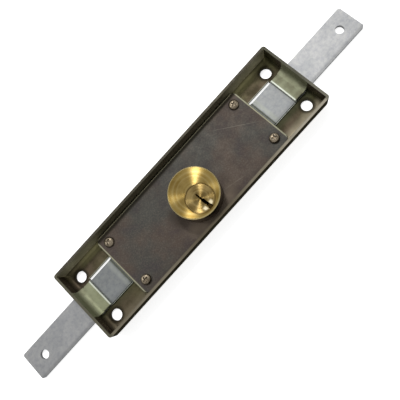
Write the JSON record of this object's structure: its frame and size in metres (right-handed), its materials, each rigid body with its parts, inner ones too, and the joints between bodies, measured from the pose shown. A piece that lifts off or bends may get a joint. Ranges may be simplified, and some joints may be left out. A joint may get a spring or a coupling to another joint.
{
  "type": "roller shutter lock",
  "caption": "Shallow pressed lock case with a round keyed cylinder that throws and draws two opposite flat bolts.",
  "frame": {"origin": "middle of the case's back plane, halfway between the two bolts", "axes": "+X along the bolts, +Y across the case away from the plug's keyway, +Z from the back plane towards the key"},
  "size_m": [0.2646, 0.047, 0.0185],
  "materials": {
    "chromated_steel": "dark olive chromated zinc on pressed sheet, satin",
    "zinc_steel": "bright zinc plate, satin",
    "brass": "turned, satin",
    "pin_brass": "turned",
    "screw_steel": "dark chromated zinc",
    "plain_steel": "machined, lightly oiled",
    "spring_steel": "drawn spring steel"
  },
  "bodies": {
    "lock_case": {"case": "chromated_steel", "cover_plate": "chromated_steel", "cover_posts": "plain_steel", "cover_screws": "screw_steel", "cylinder_body": "brass", "cylinder_screws": "screw_steel", "driver_pins": "pin_brass", "pin_springs": "spring_steel", "chamber_caps": "brass", "tail_bush": "pin_brass", "idler_axle": "plain_steel", "idler_washer": "plain_steel", "guide_studs": "plain_steel"},
    "key_plug": {"plug": "brass", "plug_clip": "spring_steel", "key_pins": "pin_brass", "drive_pinion": "plain_steel"},
    "idler": {"idler_gear": "plain_steel"},
    "right_bolt": {"bolt_right": "zinc_steel"},
    "left_bolt": {"bolt_left": "zinc_steel"}
  },
  "joints": [
    {"name": "key_turn", "type": "hinge", "parent": "lock_case", "child": "key_plug", "pos_m": [0.0004, -0.01, 0.0027], "axis": [0, 0, 1], "range_deg": [0, 360]},
    {"name": "idler_turn", "type": "hinge", "parent": "lock_case", "child": "idler", "pos_m": [0.0004, 0.00275, 0.0027], "axis": [0, 0, 1], "range_deg": [-288, 0]},
    {"name": "right_bolt_slide", "type": "slide", "parent": "lock_case", "child": "right_bolt", "axis": [1, 0, 0], "range_m": [-0.01885, 0]},
    {"name": "left_bolt_slide", "type": "slide", "parent": "lock_case", "child": "left_bolt", "axis": [1, 0, 0], "range_m": [0, 0.01885]}
  ],
  "couplings": [
    {"joint": "key_turn", "follows": "right_bolt_slide", "rad_per_m": -333.33},
    {"joint": "idler_turn", "follows": "right_bolt_slide", "rad_per_m": 266.67},
    {"joint": "left_bolt_slide", "follows": "right_bolt_slide", "ratio": -1}
  ]
}
